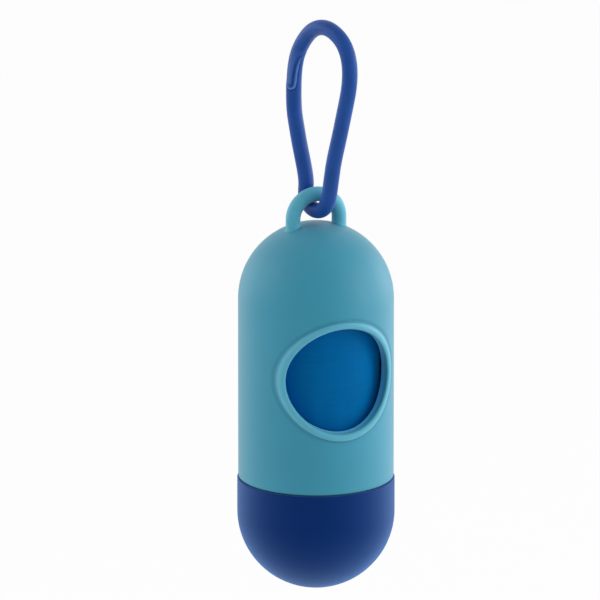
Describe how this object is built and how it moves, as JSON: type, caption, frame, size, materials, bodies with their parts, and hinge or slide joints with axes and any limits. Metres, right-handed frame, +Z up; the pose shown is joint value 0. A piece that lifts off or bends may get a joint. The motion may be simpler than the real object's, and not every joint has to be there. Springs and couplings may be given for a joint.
{
  "type": "dog waste bag dispenser",
  "caption": "Round-ended capsule that holds a roll of waste bags, with a round pull-out window, a screw-on bottom cap and a soft cord loop to hang it by.",
  "frame": {"origin": "middle of the hook space under the top of the strap loop, on the capsule's axis, 37.4 mm above the eyelet's bar", "axes": "+Z up along the capsule's axis, -Y out of the bag window, +X to the right of the window, along the eyelet's bar"},
  "size_m": [0.0405, 0.0409, 0.151],
  "materials": {
    "shell_plastic": "light grey-blue moulded plastic, satin",
    "cap_plastic": "dark blue moulded plastic, satin",
    "strap_rubber": "soft dark blue silicone cord, satin",
    "card": "plain grey-brown card tube",
    "bag_film": "deep blue thin film, tightly wound, satin"
  },
  "bodies": {
    "strap": {"strap": "strap_rubber"},
    "shell": {"upper_shell": "shell_plastic"},
    "core": {"roll_core": "card"},
    "roll": {"bag_roll": "bag_film"},
    "cap": {"lower_cap": "cap_plastic"}
  },
  "joints": [
    {"name": "shell_swing", "type": "hinge", "parent": "strap", "child": "shell", "pos_m": [0, 0, -0.0374], "axis": [1, 0, 0], "range_deg": [-75, 75]},
    {"name": "cap_travel", "type": "slide", "parent": "shell", "child": "core", "axis": [0, 0, -1], "range_m": [0, 0.0065]},
    {"name": "cap_turn", "type": "hinge", "parent": "core", "child": "cap", "pos_m": [0, 0, -0.1121], "axis": [0, 0, -1], "range_deg": [0, 340]},
    {"name": "roll_spin", "type": "hinge", "parent": "core", "child": "roll", "pos_m": [0, 0, -0.0982], "axis": [0, 0, 1], "continuous": true}
  ],
  "couplings": [
    {"joint": "cap_turn", "follows": "cap_travel", "rad_per_m": 897.6}
  ]
}
